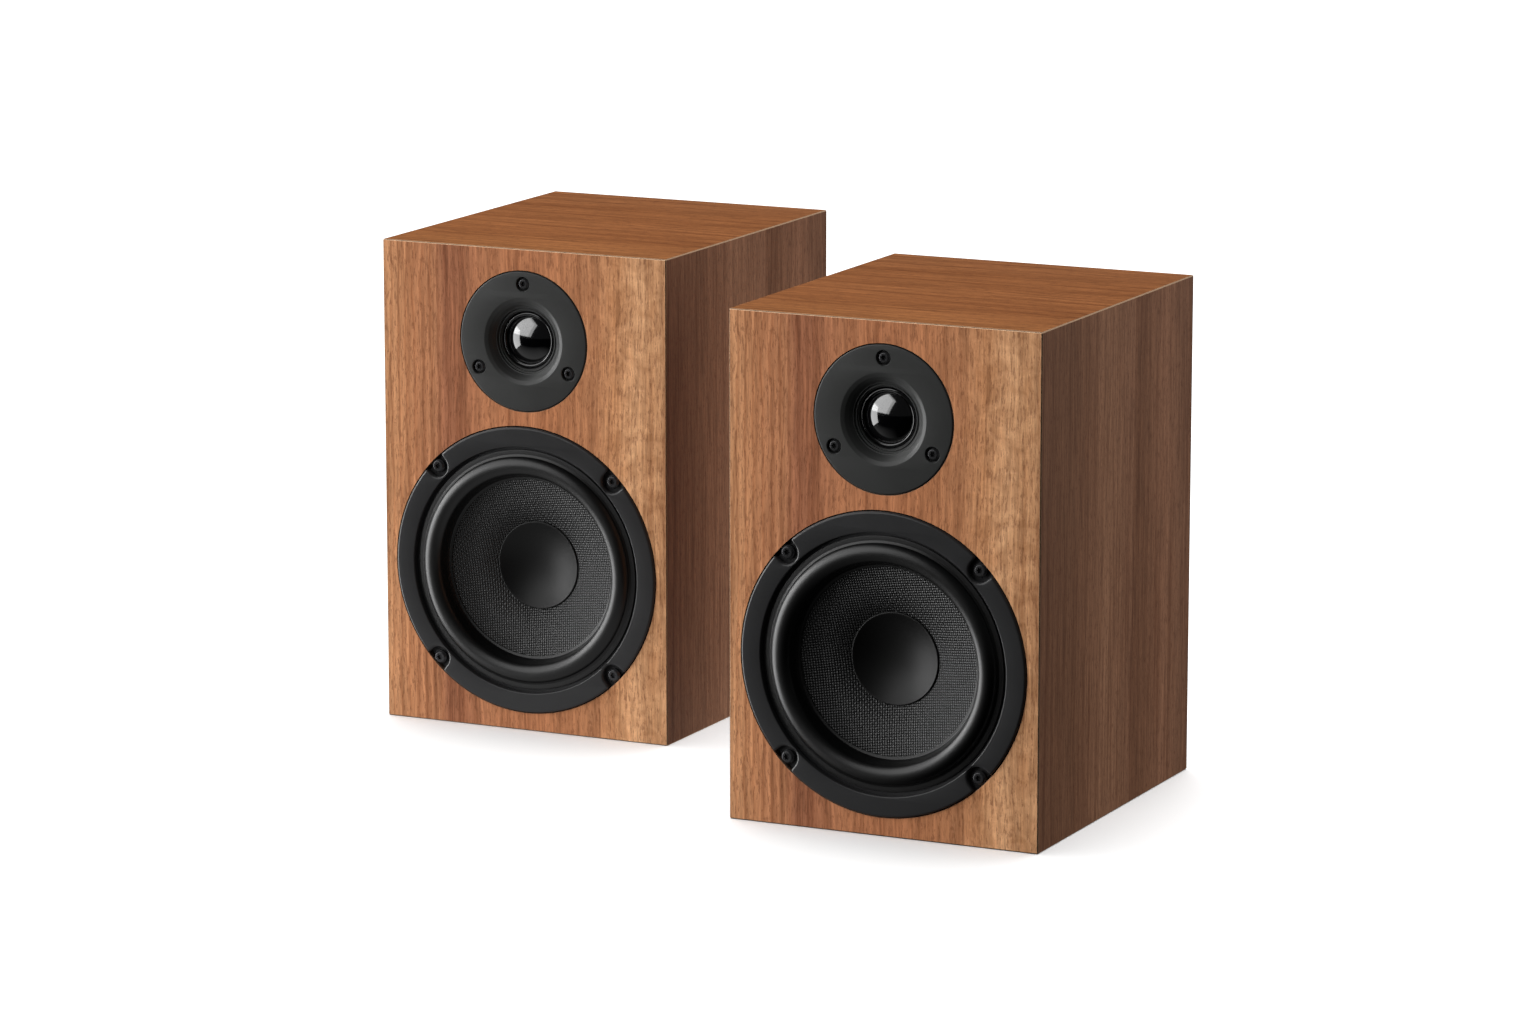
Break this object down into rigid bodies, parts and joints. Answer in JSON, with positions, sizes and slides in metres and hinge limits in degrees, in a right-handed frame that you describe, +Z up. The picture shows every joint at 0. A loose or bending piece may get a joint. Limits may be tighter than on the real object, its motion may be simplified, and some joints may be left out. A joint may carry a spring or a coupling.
{
  "type": "desktop speakers",
  "caption": "Desktop loudspeakers in veneered cabinets, with dome tweeters, woven-cone woofers, rear reflex ports and screw terminals.",
  "frame": {"origin": "bottom centre of the bounding box of the pair, on the surface they stand on", "axes": "fronts face -Y, +X from the left speaker to the right one, +Z up"},
  "size_m": [0.418, 0.3142, 0.25],
  "materials": {
    "walnut": "satin lacquered walnut veneer",
    "trim_plastic": "satin",
    "faceplate_plastic": "fine satin",
    "surround_rubber": "smooth matt",
    "cone_weave": "coated plain weave",
    "dust_cap": "coated, matt",
    "spider_cloth": "resin-stiffened cloth",
    "coil_copper": "enamelled wire",
    "ferrite": "ground ferrite",
    "plated_steel": "zinc plated",
    "basket_metal": "black powder coat",
    "screw_steel": "black oxide",
    "dome_film": "gloss",
    "terminal_red": "gloss",
    "terminal_black": "semi-gloss",
    "board_resin": "solder-masked board"
  },
  "bodies": {
    "left_cabinet": {"left_cabinet_wrap": "walnut", "left_front_baffle": "walnut", "left_rear_panel": "walnut", "left_crossover_board": "board_resin", "left_woofer_basket": "basket_metal", "left_woofer_trim_ring": "trim_plastic", "left_woofer_surround": "surround_rubber", "left_woofer_spider": "spider_cloth", "left_woofer_top_plate": "plated_steel", "left_woofer_magnet": "ferrite", "left_woofer_yoke": "plated_steel", "left_woofer_screw_1": "screw_steel", "left_woofer_screw_2": "screw_steel", "left_woofer_screw_3": "screw_steel", "left_woofer_screw_4": "screw_steel", "left_tweeter_faceplate": "faceplate_plastic", "left_tweeter_motor": "ferrite", "left_tweeter_screw_1": "screw_steel", "left_tweeter_screw_2": "screw_steel", "left_tweeter_screw_3": "screw_steel", "left_reflex_port": "trim_plastic", "left_terminal_cup": "terminal_black"},
    "left_woofer_cone": {"left_woofer_cone": "cone_weave", "left_woofer_dust_cap": "dust_cap", "left_woofer_voice_coil": "coil_copper"},
    "left_tweeter_dome": {"left_tweeter_dome": "dome_film"},
    "left_red_washer": {"left_red_washer": "plated_steel"},
    "left_red_cap": {"left_red_cap": "terminal_red"},
    "left_black_washer": {"left_black_washer": "plated_steel"},
    "left_black_cap": {"left_black_cap": "terminal_black"},
    "right_cabinet": {"right_cabinet_wrap": "walnut", "right_front_baffle": "walnut", "right_rear_panel": "walnut", "right_crossover_board": "board_resin", "right_woofer_basket": "basket_metal", "right_woofer_trim_ring": "trim_plastic", "right_woofer_surround": "surround_rubber", "right_woofer_spider": "spider_cloth", "right_woofer_top_plate": "plated_steel", "right_woofer_magnet": "ferrite", "right_woofer_yoke": "plated_steel", "right_woofer_screw_1": "screw_steel", "right_woofer_screw_2": "screw_steel", "right_woofer_screw_3": "screw_steel", "right_woofer_screw_4": "screw_steel", "right_tweeter_faceplate": "faceplate_plastic", "right_tweeter_motor": "ferrite", "right_tweeter_screw_1": "screw_steel", "right_tweeter_screw_2": "screw_steel", "right_tweeter_screw_3": "screw_steel", "right_reflex_port": "trim_plastic", "right_terminal_cup": "terminal_black"},
    "right_woofer_cone": {"right_woofer_cone": "cone_weave", "right_woofer_dust_cap": "dust_cap", "right_woofer_voice_coil": "coil_copper"},
    "right_tweeter_dome": {"right_tweeter_dome": "dome_film"},
    "right_red_washer": {"right_red_washer": "plated_steel"},
    "right_red_cap": {"right_red_cap": "terminal_red"},
    "right_black_washer": {"right_black_washer": "plated_steel"},
    "right_black_cap": {"right_black_cap": "terminal_black"}
  },
  "joints": [
    {"name": "left_woofer_stroke", "type": "slide", "parent": "left_cabinet", "child": "left_woofer_cone", "axis": [0, 1, 0], "range_m": [-0.004, 0.004], "stiffness_N_per_m": 1200, "deforming": ["left_woofer_surround", "left_woofer_spider"]},
    {"name": "left_tweeter_stroke", "type": "slide", "parent": "left_cabinet", "child": "left_tweeter_dome", "axis": [0, 1, 0], "range_m": [-0.0005, 0.0005], "stiffness_N_per_m": 600},
    {"name": "left_red_washer_lift", "type": "slide", "parent": "left_cabinet", "child": "left_red_washer", "axis": [0, 1, 0], "range_m": [0, 0.004]},
    {"name": "left_red_cap_turn", "type": "hinge", "parent": "left_red_washer", "child": "left_red_cap", "pos_m": [-0.113, 0.1465, 0.072], "axis": [0, 1, 0], "range_deg": [0, 1800]},
    {"name": "left_black_washer_lift", "type": "slide", "parent": "left_cabinet", "child": "left_black_washer", "axis": [0, 1, 0], "range_m": [0, 0.004]},
    {"name": "left_black_cap_turn", "type": "hinge", "parent": "left_black_washer", "child": "left_black_cap", "pos_m": [-0.143, 0.1465, 0.072], "axis": [0, 1, 0], "range_deg": [0, 1800]},
    {"name": "right_cabinet_place", "type": "slide", "parent": "left_cabinet", "child": "right_cabinet", "axis": [1, 0, 0], "range_m": [-0.05, 0.12]},
    {"name": "right_woofer_stroke", "type": "slide", "parent": "right_cabinet", "child": "right_woofer_cone", "axis": [0, 1, 0], "range_m": [-0.004, 0.004], "stiffness_N_per_m": 1200, "deforming": ["right_woofer_surround", "right_woofer_spider"]},
    {"name": "right_tweeter_stroke", "type": "slide", "parent": "right_cabinet", "child": "right_tweeter_dome", "axis": [0, 1, 0], "range_m": [-0.0005, 0.0005], "stiffness_N_per_m": 600},
    {"name": "right_red_washer_lift", "type": "slide", "parent": "right_cabinet", "child": "right_red_washer", "axis": [0, 1, 0], "range_m": [0, 0.004]},
    {"name": "right_red_cap_turn", "type": "hinge", "parent": "right_red_washer", "child": "right_red_cap", "pos_m": [0.143, 0.0255, 0.072], "axis": [0, 1, 0], "range_deg": [0, 1800]},
    {"name": "right_black_washer_lift", "type": "slide", "parent": "right_cabinet", "child": "right_black_washer", "axis": [0, 1, 0], "range_m": [0, 0.004]},
    {"name": "right_black_cap_turn", "type": "hinge", "parent": "right_black_washer", "child": "right_black_cap", "pos_m": [0.113, 0.0255, 0.072], "axis": [0, 1, 0], "range_deg": [0, 1800]}
  ],
  "couplings": [
    {"joint": "left_red_cap_turn", "follows": "left_red_washer_lift", "rad_per_m": 7853.9},
    {"joint": "left_black_cap_turn", "follows": "left_black_washer_lift", "rad_per_m": 7853.9},
    {"joint": "right_red_cap_turn", "follows": "right_red_washer_lift", "rad_per_m": 7853.9},
    {"joint": "right_black_cap_turn", "follows": "right_black_washer_lift", "rad_per_m": 7853.9}
  ]
}
